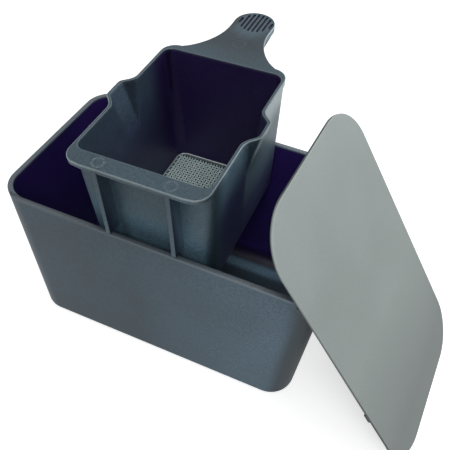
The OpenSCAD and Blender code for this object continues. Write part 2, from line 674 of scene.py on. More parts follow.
def share(value: float, low: float, high: float) -> float:
    """Smooth share of a value between two limits.

    Args:
        value: The value.
        low: Limit that gives 0.
        high: Limit that gives 1, which may be the smaller.

    Returns:
        The share, held at 0 and 1 beyond the limits.
    """
    t = min(max((value - low) / (high - low), 0.0), 1.0)
    return t * t * (3 - 2 * t)


def add_marks(mesh: bpy.types.Mesh) -> None:
    """Gives a mesh the marks that it lacks, with 0 on every point.

    Args:
        mesh: The mesh.
    """
    for mark in Mark:
        if mark.value not in mesh.attributes:
            mesh.attributes.new(mark.value, "FLOAT", "POINT")


def block(name: str, low: Point3, high: Point3, edge_round: float, place: Matrix) -> bpy.types.Object:
    """Makes a small block with rounded edges, to be joined to a moulding.

    Args:
        name: Name of the object.
        low: Lowest corner in millimetres.
        high: Highest corner in millimetres.
        edge_round: Radius of its edges.
        place: Where the moulding stands.

    Returns:
        The object.
    """
    mesh = bpy.data.meshes.new(name)
    bm = bmesh.new()
    bmesh.ops.create_cube(bm, size=1.0)
    bmesh.ops.scale(bm, vec=Vector(high) - Vector(low), verts=bm.verts)
    bmesh.ops.translate(bm, vec=(Vector(high) + Vector(low)) / 2, verts=bm.verts)
    bmesh.ops.bevel(bm, geom=bm.edges[:], offset=edge_round, segments=3, profile=0.5, affect="EDGES")
    bmesh.ops.recalc_face_normals(bm, faces=bm.faces)
    bm.to_mesh(mesh)
    bm.free()
    add_marks(mesh)
    mesh.transform(in_metres(place))
    return linked(name, mesh)


def flattened(piece: bpy.types.Object) -> None:
    """Turns a piece's modifiers into its plain mesh and removes them.

    Args:
        piece: The piece.
    """
    view = bpy.context.evaluated_depsgraph_get()
    view.update()
    fresh = bpy.data.meshes.new_from_object(piece.evaluated_get(view))
    piece.modifiers.clear()
    old = piece.data
    piece.data = fresh
    bpy.data.meshes.remove(old)


def joined(piece: bpy.types.Object, others: Sequence[bpy.types.Object]) -> None:
    """Adds closed meshes to a piece.

    Args:
        piece: The piece that is changed.
        others: The meshes, which are used up.
    """
    for other in others:
        step = piece.modifiers.new("join", "BOOLEAN")
        step.operation = "UNION"
        step.solver = "MANIFOLD"
        step.object = other
    flattened(piece)
    for other in others:
        bpy.data.objects.remove(other)


def marked(piece: bpy.types.Object, place: Matrix, mark: Mark, rule: Rule) -> None:
    """Sets a mark on every point of a piece by a rule.

    Args:
        piece: The piece.
        place: Where its own frame stands, in millimetres.
        mark: The mark.
        rule: Gives the mark from a point and its normal, in the own frame, and the old mark.
    """
    back = in_metres(place).inverted()
    turn = place.to_3x3().inverted()
    values = piece.data.attributes[mark.value].data
    for v in piece.data.vertices:
        values[v.index].value = rule(back @ v.co, turn @ v.normal, values[v.index].value)


def dressed(piece: bpy.types.Object, material: bpy.types.Material, sharp_deg: float = 38.0) -> None:
    """Gives a piece its material and its shading.

    Args:
        piece: The piece.
        material: Its finish.
        sharp_deg: Angle past which an edge stays sharp.
    """
    piece.data.materials.clear()
    piece.data.materials.append(material)
    for face in piece.data.polygons:
        face.material_index = 0
        face.use_smooth = True
    piece.data.set_sharp_from_angle(angle=math.radians(sharp_deg))
    weigh = piece.modifiers.new("weigh", "WEIGHTED_NORMAL")
    weigh.keep_sharp = True
    weigh.weight = 80
    flattened(piece)


# ---------------------------------------------------------------------------
# Tub
# ---------------------------------------------------------------------------


@dataclass
class Tub:
    """Drafted tub with rounded corners, foot and rim.

    Attributes:
        length: Size along X at the rim.
        width: Size along Y at the rim.
        height: Height of the rim above the ground.
        wall: Thickness of the walls and the floor.
        corner: Outer radius of the upright corners at the rim.
        corner_lean: How much smaller that radius is at the foot.
        least_corner: Smallest radius of an upright corner inside.
        lean_x: How far each end wall leans in from rim to foot.
        lean_y: How far each long wall leans in from rim to foot.
        foot_round: Radius along the foot.
        floor_round: Radius along the floor's edge, inside.
        rim_round: Radius of the rim's two edges.
        rim_band: Depth of the band below the rim over which its light runs out.
        levels: Heights of the walls' rings between foot and rim.
        floor_steps: How far the floor's rings lie in from its round.
        steps: Steps of each upright corner.
    """

    length: float = 170.0
    width: float = 101.0
    height: float = 96.0
    wall: float = 2.8
    corner: float = 15.7
    corner_lean: float = 1.7
    least_corner: float = 1.0
    lean_x: float = 5.0
    lean_y: float = 3.5
    foot_round: float = 3.0
    floor_round: float = 10.0
    rim_round: float = 0.6
    rim_band: float = 0.9
    levels: tuple[float, ...] = (20.0, 44.0, 68.0, 88.0)
    floor_steps: tuple[float, ...] = (3.5, 7.0, 12.0)
    steps: int = 14

    def outline(self, z: float, inset: float) -> list[Point2]:
        """Draws the outer face's outline.

        Args:
            z: Height above the ground.
            inset: Distance inward from the outer face.

        Returns:
            The outline.
        """
        down = 1 - z / self.height
        return rounded_rect(
            self.length - 2 * self.lean_x * down - 2 * inset,
            self.width - 2 * self.lean_y * down - 2 * inset,
            max(self.corner - self.corner_lean * down - inset, self.least_corner),
            self.steps,
        )

    def shell(self) -> bpy.types.Object:
        """Makes the tub's closed mesh, from the foot over the rim to the floor.

        Returns:
            The piece.
        """
        m = Mould()
        rings: list[list[int]] = []
        top = self.height - self.rim_round

        def add(z: float, inset: float, edge: float = 0.0, core_and_shade: float = 0.0, tone: float = 0.0) -> None:
            """Adds the wall's ring at a height."""
            rings.append(m.ring(at_height(self.outline(z, inset), z), edge, core_and_shade, tone))

        def add_floor(z: float, reach: float) -> None:
            """Adds a ring near the floor, with a painted highlight band on the floor's round, and painted
            shade near the wall, on the round's upper part and on the middle.

            Args:
                z: Height of the ring.
                reach: Its distance from the wall.
            """
            by_wall = 1.0 - share(reach, 5.0, 8.0)
            highlight_and_wear = share(reach, 6.9, 11.0)
            middle = share(reach, 12.5, 18.0)
            hollow = share(reach, 0.2, 2.0) * share(reach, 9.0, 7.0)
            # Painted highlight on the round, painted shade on its upper part and on the floor's middle.
            tone = 1.8 * highlight_and_wear - 2.3 * middle - 0.75 * hollow
            add(z, self.wall + reach, core_and_shade=by_wall, tone=tone)

        for back, rise in quarter(self.foot_round, (90, 72, 54, 36, 18, 0)):
            add(self.foot_round - rise, back)
        for z in (*self.levels, top - self.rim_band):
            add(z, 0.0)
        rim = quarter(self.rim_round, (0, 22.5, 45, 67.5, 90))
        # The rim's edges carry the edge mark: rubbed, with a painted highlight.
        for back, rise in rim:
            add(top + rise, back, edge=1.0)
        for back, rise in reversed(rim):
            add(top + rise, self.wall - back, edge=1.0, core_and_shade=0.3)
        # The inside walls carry the core mark: painted shade.
        for z in (top - self.rim_band, *reversed(self.levels)):
            add(z, self.wall, core_and_shade=1.0)
        for back, rise in quarter(self.floor_round, (0, 18, 36, 54, 63, 72, 81, 90)):
            add_floor(self.wall + self.floor_round - rise, back)
        for step in self.floor_steps:
            add_floor(self.wall, self.floor_round + step)
        m.solid(rings)
        return m.piece("tub_moulding")

    def painted_light_mark(self, p: Vector, n: Vector, old: float) -> float:
        """Paints shade on the front rim's inner half and on its top from the basket on, and paints shade on
        the right front corner.

        Args:
            p: The point.
            n: Its normal.
            old: Its tone mark so far.

        Returns:
            Its tone mark.
        """
        front = -self.width / 2
        on_rim = p.z > self.height - 1.0
        if on_rim and p.y < front + self.wall + 0.2:
            from_basket = share(p.x, -46.0, -34.0)
            past_basket = share(p.x, 14.0, 26.0)
            off_edge = share(p.y, front - 0.2, front + 0.7)
            inner_half = share(p.y, front + 0.8, front + self.wall - 0.4)
            return -max(from_basket * (0.6 - 0.1 * past_basket) * off_edge, 0.65 * inner_half)
        at_corner = p.x > 40.0 and p.y < -20.0
        if at_corner and n.x > 0.0 and n.y < 0.1 and not on_rim:
            return -0.7 * share(n.x, 0.05, 0.6)
        return old

    def build(self, finish: MouldedPlastic) -> bpy.types.Object:
        """Makes, dresses and places the tub.

        Args:
            finish: The tub's finish.

        Returns:
            The piece.
        """
        piece = self.shell()
        marked(piece, Matrix.Identity(4), Mark.PAINTED_LIGHT, self.painted_light_mark)
        dressed(piece, finish.material())
        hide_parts("tub")
        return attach(piece, "tub")


# ---------------------------------------------------------------------------
# Basket
# ---------------------------------------------------------------------------


@dataclass
class Bulge:
    """Bulge of the basket's side walls, with S-curved flanks, which runs out downward.

    Attributes:
        out: How far it stands out at the top.
        depth: Depth at which it has run out.
        front: Where the front flank leaves the wall.
        front_slope: Rise of the front flank for each millimetre along the wall.
        back: Where the back flank leaves the wall.
        back_slope: Rise of the back flank for each millimetre along the wall.
        foot_blend: Length of the soft foot of a flank.
        head_blend: Length of the soft head of a flank.
        foot_share: Largest soft foot for each millimetre that the bulge stands out.
        head_share: Largest soft head for each millimetre that the bulge stands out.
        end_blend: Length of the soft end where the bulge runs out.
        draw: Shift of the flanks for each millimetre inward, which keeps the wall even.
    """

    out: float = 5.6
    depth: float = 24.5
    front: float = -8.4
    front_slope: float = 1.0
    back: float = 14.15
    back_slope: float = 1.17
    foot_blend: float = 3.4
    head_blend: float = 1.5
    foot_share: float = 0.9
    head_share: float = 0.5
    end_blend: float = 0.7
    draw: float = 0.41

    def offset(self, y: float, z: float, inset: float) -> float:
        """Works out how far the wall stands out.

        Args:
            y: Place along the wall.
            z: Height, 0 at the top and negative below.
            inset: Distance inward from the outer face.

        Returns:
            Distance out from the wall's own plane.
        """
        least = 0.01
        out = soft_max(self.out * (1 + z / self.depth), 0.0, self.end_blend)
        gone = self.out - out
        front = self.front + gone / self.front_slope + self.draw * inset
        back = self.back - gone / self.back_slope - self.draw * inset
        rise = min((y - front) * self.front_slope, (back - y) * self.back_slope)
        foot = min(self.foot_blend, out * self.foot_share + least)
        head = min(self.head_blend, out * self.head_share + least)
        return soft_min(soft_max(rise, 0.0, foot), out, head)


@dataclass
class Handle:
    """Paddle handle behind the back lip, with its grooved thumb pad.

    Attributes:
        middle: Place across the basket.
        reach_y: Where the rounded end ends.
        end_round: Radius of the rounded end.
        neck_y: Where the neck is narrowest.
        neck_half: Half the neck's width.
        flare_round: Radius of the concave flares.
        flare_out: How much wider a flare's foot is where it meets the lip.
        flare_back: How far the flare's next point lies behind its round.
        steps: Steps of a flare, and of half the rounded end.
        thick: Thickness, also of the back lip.
        pad_x: Middle of the thumb pad across the basket.
        pad_y: Middle of the thumb pad along the basket.
        pad_round: Radius of the pad.
        grooves: Number of grooves.
        pitch: Distance between the grooves.
        groove_wide: Width of a groove.
        groove_deep: Depth of a groove.
        groove_slope: How much narrower a groove is at its foot, on each side.
        groove_least: Smallest half length of a groove.
        groove_steps: Steps of a groove's round end.
    """

    middle: float = 0.3
    reach_y: float = 96.2
    end_round: float = 11.3
    neck_y: float = 78.0
    neck_half: float = 11.2
    flare_round: float = 36.0
    flare_out: float = 0.5
    flare_back: float = 0.12
    steps: int = 14
    thick: float = 4.0
    pad_x: float = 1.1
    pad_y: float = 85.5
    pad_round: float = 9.2
    grooves: int = 8
    pitch: float = 2.49
    groove_wide: float = 1.35
    groove_deep: float = 0.7
    groove_slope: float = 0.12
    groove_least: float = 2.0
    groove_steps: int = 8

    def outline(self, lip_y: float) -> list[Point2]:
        """Outline from the right foot of the flare round the end to the left foot.

        Args:
            lip_y: The back lip's outer edge.

        Returns:
            The open outline.
        """
        reach = math.degrees(math.asin((self.neck_y - lip_y) / self.flare_round))
        turns = [reach * (1 - k / self.steps) for k in range(self.steps + 1)]
        flare = quarter(self.flare_round, turns)
        right = [(self.neck_half + out, self.neck_y - back) for out, back in flare]
        right[0] = (right[0][0] + self.flare_out, lip_y)
        right[1] = (right[1][0], right[1][1] + self.flare_back)
        for k in range(self.steps + 1):
            a = math.radians(90 * k / self.steps)
            y = self.reach_y - self.end_round + self.end_round * math.sin(a)
            right.append((self.end_round * math.cos(a), y))
        made = [(self.middle + x, y) for x, y in right]
        return made + [(self.middle - x, y) for x, y in reversed(right[:-1])]

    def groove_outlines(self) -> list[list[Point2]]:
        """Outlines of the pad's grooves, each a slot with round ends.

        Returns:
            One outline for each groove.
        """
        half = self.groove_wide / 2
        made: list[list[Point2]] = []
        for i in range(self.grooves):
            off = (i - (self.grooves - 1) / 2) * self.pitch
            reach = math.sqrt(max(self.pad_round**2 - off**2, self.groove_least**2)) - half
            slot: list[Point2] = []
            for start, end in ((0, reach), (180, -reach)):
                for k in range(self.groove_steps + 1):
                    a = math.radians(start + 180 * k / self.groove_steps)
                    slot.append((off + half * math.cos(a), end + half * math.sin(a)))
            made.append([(self.pad_x + x, self.pad_y + y) for x, y in slot])
        return made


@dataclass(frozen=True)
class WitnessRing:
    """Shallow ring that an ejector pin leaves in a flat face.

    Attributes:
        x: Middle across the basket.
        y: Middle along the basket.
        radius: Radius of its outer brink.
        light: Edge mark of its two brinks, a painted highlight.
        foot_light: Edge mark of its foot, a painted highlight.
        wide: Distance between the brinks.
        deep: Depth of its foot.
        slope: How far each flank runs in from its brink.
        guard: Distance past which the brinks don't light the face.
        steps: Steps round it.
    """

    x: float
    y: float
    radius: float
    light: float
    foot_light: float = 0.2
    wide: float = 0.7
    deep: float = 0.16
    slope: float = 0.25
    guard: float = 0.25
    steps: int = 32

    def circle(self, radius: float) -> list[Point2]:
        """A circle round the ring's middle."""
        turns = [math.radians(360 * k / self.steps) for k in range(self.steps)]
        return [(self.x + radius * math.cos(a), self.y + radius * math.sin(a)) for a in turns]

    def circles(self) -> list[list[Point2]]:
        """Outer and inner brink, and the guard line beyond each."""
        outer, inner = self.radius, self.radius - self.wide
        return [self.circle(r) for r in (outer, inner, outer + self.guard, inner - self.guard)]


@dataclass
class Basket:
    """Media basket: drafted walls, side bulges, lips, handle, ribs and floor ledge.

    Heights are 0 at the top and negative below.

    Attributes:
        width: Size across at the top.
        length: Size from the front lip's edge to the back lip's edge.
        depth: Depth below the top.
        wall: Thickness of the walls.
        front_lip: Width of the front lip, up to the opening.
        back_lip: Width of the back lip, up to the opening.
        front_thick: Thickness of the front lip.
        lip_corner: Radius of the lips' corners.
        front_corner: Outer radius of the walls' front corners.
        back_corner: Outer radius of the walls' back corners.
        front_inner: Inner radius of the walls' front corners.
        back_inner: Inner radius of the walls' back corners.
        side_lean: How far a side wall leans in for each millimetre down.
        front_lean: How far the front wall leans in for each millimetre down.
        back_lean: How far the back wall leans in for each millimetre down.
        floor_thick: Thickness of the floor ledge.
        ledge: Width of the floor ledge.
        foot_round: Radius along the foot.
        edge_round: Radius of the top's edges.
        guard: Width of the flat band beside those edges, which keeps their light off the top.
        lip_band: Depth over which the lips' light runs out.
        under_bevel: Bevel of the lips' lower edge.
        rib_thick: Thickness of a parking rib.
        rib_pitch: Distance between the ribs' middles.
        rib_drop: Depth of the ribs' feet.
        levels: Heights of the walls' rings, from the floor up.
        at: Middle of the parked basket's top, in the frame's millimetres.
        turn: Its turns about X, Y and Z, in degrees.
        bulge: Bulge of the side walls.
        handle: Handle behind the back lip.
    """

    width: float = 68.2
    length: float = 98.4
    depth: float = 72.5
    wall: float = 1.6
    front_lip: float = 8.9
    back_lip: float = 4.3
    front_thick: float = 2.6
    lip_corner: float = 8.0
    front_corner: float = 4.8
    back_corner: float = 7.0
    front_inner: float = 4.6
    back_inner: float = 5.4
    side_lean: float = 0.045
    front_lean: float = 0.02
    back_lean: float = 0.005
    floor_thick: float = 1.2
    ledge: float = 2.5
    foot_round: float = 2.0
    edge_round: float = 0.35
    guard: float = 0.2
    lip_band: float = 1.3
    under_bevel: float = 0.3
    rib_thick: float = 2.3
    rib_pitch: float = 34.6
    rib_drop: float = 41.5
    levels: tuple[float, ...] = (
        -62.0, -52.0, -42.0, -34.0, -29.0, -26.5, -24.5,
        -22.5, -20.0, -17.0, -13.0, -9.0, -5.0, -1.6,
    )
    at: Point3 = (-3.5, -3.92, 141.05)
    turn: Point3 = (2.96, -2.57, -1.35)
    bulge: Bulge = field(default_factory=Bulge)
    handle: Handle = field(default_factory=Handle)

    def place(self) -> Matrix:
        """Where the parked basket stands, in millimetres."""
        return standing(self.at, self.turn)

    @property
    def front_face(self) -> float:
        """Outer face of the front wall at the top."""
        return -self.length / 2 + self.front_lip - self.wall

    @property
    def back_face(self) -> float:
        """Outer face of the back wall at the top."""
        return self.length / 2 - self.back_lip + self.wall

    def side_places(self) -> list[float]:
        """Places along a side wall between its corners, close together at the bulge's flanks.

        Returns:
            The places, from front to back.
        """
        step = 0.75
        flanks = [self.bulge.front - 4.5 + step * k for k in range(21)]
        flanks += [self.bulge.back - 8.0 + step * k for k in range(15)]
        return [-33.0, -28.0, -22.0, -17.0, -14.5] + sorted(flanks) + [19.5, 23.0, 28.0, 33.0, 37.5]

    def corner_turns(self) -> list[float]:
        """Angles from the side towards an end wall, close together where the lip's corner is."""
        degrees = (0, 12, 24, 33, 38, 43, 49, 55, 62, 69, 76, 83, 90)
        return [math.radians(a) for a in degrees]

    def back_count(self) -> int:
        """Number of points along the back wall, as many as the handle's outline has."""
        return len(self.handle.outline(self.length / 2))

    def front_places(self) -> list[float]:
        """Parts of the way across the front wall, from left to right."""
        return [k / 12 for k in range(1, 12)]

    def wall_ring(self, z: float, inset: float) -> list[Point2]:
        """Outline of the wall.

        Args:
            z: Height, 0 at the top and negative below.
            inset: Distance inward from the outer face.

        Returns:
            Anticlockwise outline from the front wall's left end.
        """
        half = self.width / 2 + self.side_lean * z
        front = self.front_face - self.front_lean * z + inset
        back = self.back_face + self.back_lean * z - inset
        rf, rb = self.corner_radii(inset)
        cx, bx, cf, cb = half - inset - rf, half - inset - rb, front + rf, back - rb
        turns = self.corner_turns()
        right = [(half - inset + self.bulge.offset(y, z, inset), y) for y in self.side_places()]
        made: list[Point2] = [(-cx, front)]
        made += [(-cx + 2 * cx * part, front) for part in self.front_places()]
        made += [(cx + rf * math.cos(a), cf - rf * math.sin(a)) for a in reversed(turns)]
        made += right
        made += [(bx + rb * math.cos(a), cb + rb * math.sin(a)) for a in turns]
        steps = self.back_count() + 1
        made += [(bx - 2 * bx * k / steps, back) for k in range(1, steps)]
        made += [(-bx - rb * math.cos(a), cb + rb * math.sin(a)) for a in reversed(turns)]
        made += [(-x, y) for x, y in reversed(right)]
        made += [(-cx - rf * math.cos(a), cf - rf * math.sin(a)) for a in turns[:-1]]
        return made

    def corner_radii(self, inset: float) -> tuple[float, float]:
        """Works out the corner radii of the wall's outline.

        Args:
            inset: Distance inward from the outer face.

        Returns:
            Radius of the front corners and of the back corners.
        """
        if inset < self.wall:
            return self.front_corner - inset, self.back_corner - inset
        least = 0.5
        deeper = inset - self.wall
        return max(self.front_inner - deeper, least), max(self.back_inner - deeper, least)

    def lip_hit(self, x: float, y: float, turn: float, end: End) -> Point2:
        """Where a line from a wall corner's middle meets the lip's outline.

        Args:
            x: Corner's middle, on the right side.
            y: Corner's middle.
            turn: Angle from the side towards the end wall.
            end: End that the corner is at.

        Returns:
            The point on the right side.
        """
        half, far, r = self.width / 2, self.length / 2, self.lip_corner
        way = Vector((math.cos(turn), end.value * math.sin(turn)))
        start = Vector((x, y))
        hit = start + way * ((half - x) / max(way.x, 1e-9))
        if abs(hit.y) <= far - r:
            return (half, hit.y)
        gap = start - Vector((half - r, end.value * (far - r)))
        b = gap.dot(way)
        hit = start + way * (-b + math.sqrt(max(b * b - gap.length_squared + r * r, 0.0)))
        return (hit.x, hit.y)

    def top_ring(self) -> list[Point2]:
        """Outline of the lips, handle and side rims, point for point with the wall's.

        Returns:
            Anticlockwise outline from the front lip's left end.
        """
        half, far = self.width / 2, self.length / 2
        rf, rb = self.corner_radii(0.0)
        cx = half - rf
        turns = self.corner_turns()
        front = [self.lip_hit(cx, self.front_face + rf, a, End.FRONT) for a in turns]
        back = [self.lip_hit(half - rb, self.back_face - rb, a, End.BACK) for a in turns]
        right = [(half + self.bulge.offset(y, 0.0, 0.0), y) for y in self.side_places()]
        made: list[Point2] = [(-front[-1][0], front[-1][1])]
        made += [(-cx + 2 * cx * part, -far) for part in self.front_places()]
        made += list(reversed(front)) + right + back
        made += self.handle.outline(far)
        made += [(-x, y) for x, y in reversed(back)]
        made += [(-x, y) for x, y in reversed(right)]
        made += [(-x, y) for x, y in front[:-1]]
        return made

    def witness_rings(self) -> list[WitnessRing]:
        """Rings on the front lip, above the ribs, and on the handle's neck.

        Returns:
            The rings.
        """
        on_lip, on_neck = -self.length / 2 + 4.5, self.length / 2 + 13.8
        # The left ring's brinks get a stronger painted highlight than the others.
        return [
            WitnessRing(-self.rib_pitch / 2, on_lip, radius=3.05, light=0.9),
            WitnessRing(self.rib_pitch / 2, on_lip, radius=3.05, light=0.45),
            WitnessRing(0.7, on_neck, radius=3.6, light=0.45),
        ]

    def flat_top(self, m: Mould, inner: Sequence[Point2], outer: Sequence[Point2]) -> None:
        """Adds the flat top between the opening and the outline, with its grooves and rings.

        Args:
            m: The mould that the faces go to.
            inner: Edge of the opening.
            outer: Outer edge.
        """
        grooves = self.handle.groove_outlines()
        rings = self.witness_rings()
        circles = [ring.circles() for ring in rings]
        loops = [list(outer), list(inner)] + grooves + [c for group in circles for c in group]
        points: list[Vector] = []
        edges: list[tuple[int, int]] = []
        for loop in loops:
            start, count = len(points), len(loop)
            points += [Vector(p) for p in loop]
            edges += [(start + k, start + (k + 1) % count) for k in range(count)]
        flat, _, faces, *_ = geometry.delaunay_2d_cdt(points, edges, [], 0, 1e-5)
        numbers = m.ring([(p.x, p.y, 0.0) for p in flat])
        for face in faces:
            middle = sum((flat[i] for i in face), Vector((0, 0))) / len(face)
            on_top = is_within(middle, outer) and not is_within(middle, inner)
            in_groove = any(is_within(middle, groove) for groove in grooves)
            in_ring = any(is_within(middle, c[0]) and not is_within(middle, c[1]) for c in circles)
            if on_top and not in_groove and not in_ring:
                m.faces.append(tuple(numbers[i] for i in face))
        for groove in grooves:
            foot_line = moved_in(groove, self.handle.groove_slope)
            brink = m.ring(at_height(groove, 0.0))
            # The grooves' feet carry the core mark: painted shade in the grooves.
            foot = m.ring(at_height(foot_line, -self.handle.groove_deep), core_and_shade=0.9)
            m.bridge(foot, brink)
            m.cap(foot, upward=True)
        # The rings' brinks and feet carry painted highlights.
        for ring, (big, small, *_) in zip(rings, circles):
            brink = m.ring(at_height(big, 0.0), ring.light)
            low = m.ring(at_height(moved_in(big, ring.slope), -ring.deep), ring.foot_light)
            low_in = m.ring(at_height(moved_in(small, -ring.slope), -ring.deep), ring.foot_light)
            island = m.ring(at_height(small, 0.0), ring.light)
            m.bridge(low, brink)
            m.bridge(low_in, low)
            m.bridge(island, low_in)

    def shell(self) -> bpy.types.Object:
        """Makes the basket's closed mesh without its ribs.

        The rings run up the inside from the ledge, and down the outside from the lips.

        Returns:
            The piece.
        """
        m = Mould()
        e = self.edge_round
        top_out = self.top_ring()
        top_in = self.wall_ring(0.0, self.wall)
        wall_out = self.wall_ring(0.0, 0.0)
        ledge_z = -self.depth + self.floor_thick
        under = [-self.handle.thick if y > 0 else -self.front_thick for _, y in wall_out]
        rings: list[list[int]] = []

        def add(
            outline: Sequence[Point2], z: Sequence[float] | float, edge: float = 0.0, core_and_shade: float = 0.0
        ) -> None:
            """Adds one ring."""
            rings.append(m.ring(at_height(outline, z), edge, core_and_shade))

        def add_wall(z: float, inset: float, core_and_shade: float = 0.0) -> None:
            """Adds the wall's own ring at a height."""
            add(self.wall_ring(z, inset), z, core_and_shade=core_and_shade)

        # The ledge and the inside walls carry the core mark: painted shade, deeper lower down.
        for rise, inset in ((0.0, self.ledge), (0.0, 0.6), (0.2, 0.2), (0.7, 0.0)):
            add_wall(ledge_z + rise, self.wall + inset, 1.0)
        for z in self.levels:
            low_down = min(-z / 50.0, 1.0)
            add_wall(z, self.wall, 0.5 + 0.5 * low_down)
        # The opening's edge: rubbed, with a painted highlight.
        for back, rise in quarter(e, (0, 30, 60, 90)):
            highlight_and_wear = 0.45 if rise > 0 else 0.2
            add(moved_in(top_in, -back), -e + rise, highlight_and_wear, core_and_shade=0.3)
        inner_guard = moved_in(top_in, -e - self.guard)
        outer_guard = moved_in(top_out, e + self.guard)
        add(inner_guard, 0.0)
        split = len(rings)
        add(outer_guard, 0.0)
        # The top's outer edge and the lips' lower edge: rubbed, with a painted highlight.
        for back, rise in quarter(e, (90, 60, 30, 0)):
            add(moved_in(top_out, back), -e + rise, 1.0)
        add(self.sunk(top_out, -self.lip_band), -self.lip_band)
        above = [z + self.under_bevel for z in under]
        add([self.sunk(top_out, z)[i] for i, z in enumerate(above)], above, 0.25)
        lipped = [self.sunk(top_out, z)[i] for i, z in enumerate(under)]
        room = [0.5 * (Vector(a) - Vector(b)).length for a, b in zip(top_out, wall_out)]
        add(moved_in(lipped, [min(self.under_bevel, most) for most in room]), under, 0.25)
        add([self.wall_ring(z, 0.0)[i] for i, z in enumerate(under)], under)
        for z in reversed([z for z in self.levels if z < -self.handle.thick - 0.5]):
            add_wall(z, 0.0)
        for rise, inset in ((self.foot_round, 0.0), (0.6, 0.6), (0.0, self.foot_round)):
            add_wall(-self.depth + rise, inset)
        add(self.wall_ring(ledge_z, self.wall + self.ledge), -self.depth)
        m.stack(rings[:split])
        m.stack(rings[split:] + rings[:1])
        self.flat_top(m, inner_guard, outer_guard)
        return m.piece("media_basket_moulding", self.place())

    def sunk(self, outline: Sequence[Point2], z: float) -> list[Point2]:
        """Draws the top outline in by the walls' lean at a depth.

        Args:
            outline: The top outline.
            z: The depth, as a negative height.

        Returns:
            The outline at that depth.
        """
        top, low = self.wall_ring(0.0, 0.0), self.wall_ring(z, 0.0)
        return [(p[0] + b[0] - a[0], p[1] + b[1] - a[1]) for p, a, b in zip(outline, top, low)]

    def ribs(self) -> list[bpy.types.Object]:
        """Makes the two parking ribs, which are sunk a little into the lip and the wall.

        Returns:
            Blocks to be joined to the shell.
        """
        behind_lip, into_wall, top, edge_round = 0.02, 0.9, -1.2, 0.3
        made = []
        for x in (-self.rib_pitch / 2, self.rib_pitch / 2):
            low = (x - self.rib_thick / 2, -self.length / 2 + behind_lip, -self.rib_drop)
            high = (x + self.rib_thick / 2, self.front_face + into_wall, top)
            made.append(block("rib", low, high, edge_round, self.place()))
        return made

    def is_inside(self, p: Vector, n: Vector) -> bool:
        """Tells whether a point lies on the inside of the walls.

        Args:
            p: The point.
            n: Its normal, which points away from the middle on an outer corner.

        Returns:
            Whether it does.
        """
        half_wall, outward = self.wall / 2, 5.0
        bulge = self.bulge.offset(p.y, min(p.z, 0.0), half_wall)
        front = self.front_face - self.front_lean * p.z + half_wall
        back = self.back_face + self.back_lean * p.z - half_wall
        side = self.width / 2 + self.side_lean * p.z + bulge - half_wall
        turned_in = n.x * p.x + n.y * p.y < outward
        return turned_in and p.z < -0.1 and front < p.y < back and abs(p.x) < side

    def by_left_bulge(self, p: Vector) -> bool:
        """Whether a point lies on the left wall, no lower than its bulge."""
        return p.x < -30.0 and p.z > -self.bulge.depth

    def on_rib(self, p: Vector) -> bool:
        """Whether a point lies on a parking rib."""
        return p.y < self.front_face - 0.4 and p.z < -self.front_thick + 0.1

    def on_front(self, p: Vector, n: Vector) -> bool:
        """Whether a point lies on the front wall or its corners, outside."""
        off = abs(p.y - self.front_face + self.front_lean * p.z)
        return (off < 0.35 and p.z < -self.front_thick) or (n.y < -0.5 and p.y < 0)

    def core_and_shade_mark(self, p: Vector, n: Vector, old: float) -> float:
        """Marks the inside as core side with painted shade, more to the back and low down, and paints shade
        on what lies in shade outside.

        Args:
            p: The point.
            n: Its normal.
            old: Its core mark so far.

        Returns:
            Its core mark.
        """
        if self.is_inside(p, n):
            low_down = share(p.z, -5.0, -45.0)
            to_back = share(p.y, 22.0, 36.0)
            side = 0.3 + 0.45 * low_down if p.x < 0 else 0.75
            if self.by_left_bulge(p):
                on_bulge = share(self.bulge.offset(p.y, p.z, self.wall), 1.0, 3.0)
                side *= 1.0 - 0.3 * on_bulge * share(n.x, 0.7, 0.95)
            return side + (1.0 - side) * to_back
        on_right = p.x > 20.0 and n.x > 0.0 and p.y < self.back_face
        if on_right and p.z < -self.front_thick:
            from_corner = share(p.y, -36.0, -26.0)
            low_down = share(p.z, -6.0, -30.0)
            # Behind the bulge the right wall is lit, so less shade is painted there.
            highlight_and_wear = share(p.y, -5.0, 0.0) * share(p.z, -58.0, -28.0)
            return 0.65 * from_corner * low_down * (1.0 - highlight_and_wear)
        # Painted shade on the ribs' right faces.
        if self.on_rib(p):
            return 0.7 * share(n.x, 0.4, 0.9)
        return old

    def painted_light_mark(self, p: Vector, n: Vector, old: float) -> float:
        """Paints light and shade on the moulding: highlights, sheen and shaded places.

        Args:
            p: The point.
            n: Its normal.
            old: Its tone mark so far.

        Returns:
            Its tone mark.
        """
        if self.is_inside(p, n):
            return self.inside_painted_light(p, n)
        if n.z > 0.6 and p.z > -1.0:
            return self.top_painted_light(p)
        # Painted highlight on the handle's side faces, most on the right.
        if p.y > self.length / 2 - 1.0:
            return 1.9 * share(n.x, 0.3, 0.9) + 0.3 * share(-n.x, 0.3, 0.9)
        # Painted light on the ribs' lit feet and painted shade on their right faces.
        if self.on_rib(p):
            shaded_side = share(n.x, 0.4, 0.9)
            lit_foot = share(-p.z, 20.0, 44.0) * share(-n.y, 0.4, 0.9)
            return 0.5 * lit_foot - 0.6 * shaded_side
        if self.on_front(p, n):
            return self.front_painted_light(p, n)
        # Painted light on the left front corner.
        if n.x < -0.3 and p.x < -25.0 and p.y < -25.0:
            return 1.6 * share(-n.y, 0.0, 0.6)
        if n.x > 0.3 and p.x > 25.0:
            return self.right_painted_light(p, n)
        return old

